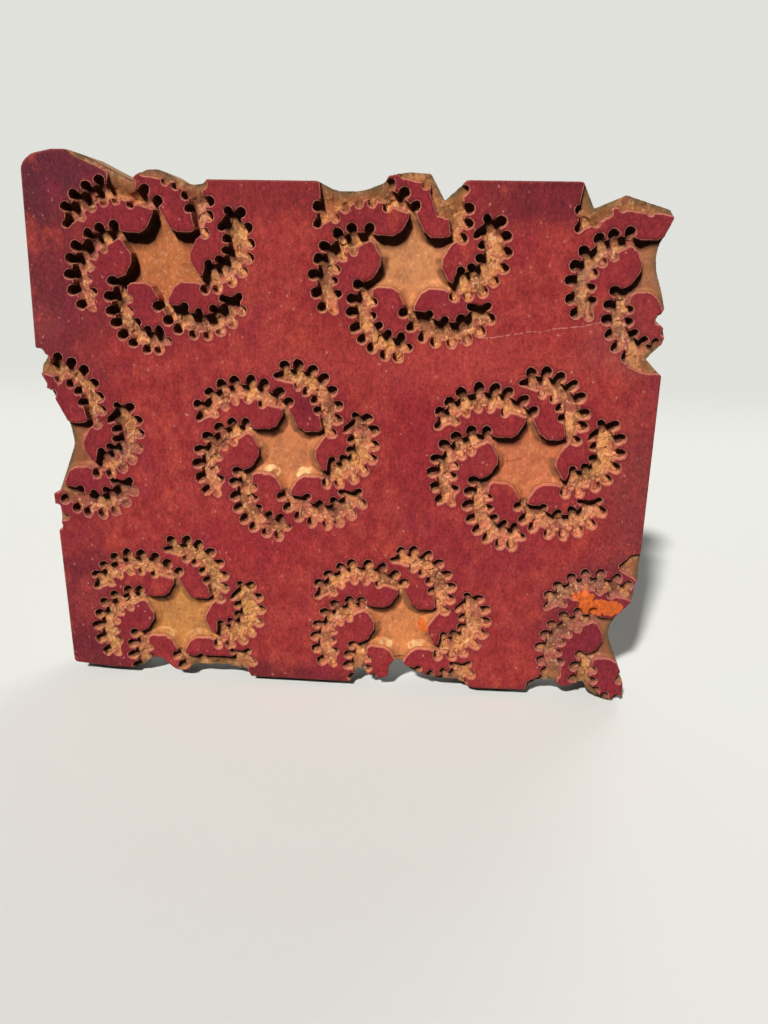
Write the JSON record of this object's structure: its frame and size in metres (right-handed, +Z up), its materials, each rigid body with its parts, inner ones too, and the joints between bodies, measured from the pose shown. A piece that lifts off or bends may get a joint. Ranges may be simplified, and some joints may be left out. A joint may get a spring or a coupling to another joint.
{
  "type": "wooden hand printing block",
  "caption": "Hand printing block: a carved hardwood face with star pinwheels and comb channels, backed by crossed layers of boards with two hand grips and wooden pegs.",
  "frame": {"origin": "Under the middle of the outline, at the height of its lowest point and halfway through the thickness.", "axes": "+X across the block to the right as seen from the printing face, +Y from the printing face to the back, +Z up."},
  "size_m": [0.4654, 0.05, 0.4099],
  "materials": {
    "dyed_face": "matt hardwood, dyed burgundy by printing, bare wood in the recesses",
    "core_wood": "bare softwood",
    "back_wood": "bare softwood, darkened by handling",
    "peg_wood": "bare hardwood"
  },
  "bodies": {
    "root": {"face_board_left": "dyed_face", "face_board_middle": "dyed_face", "face_board_right": "dyed_face", "core_board_top": "core_wood", "core_board_middle": "core_wood", "core_board_bottom": "core_wood", "back_board_outer_left": "back_wood", "back_board_inner_left": "back_wood", "back_board_inner_right": "back_wood", "back_board_outer_right": "back_wood", "layer_pegs": "peg_wood"}
  },
  "joints": []
}
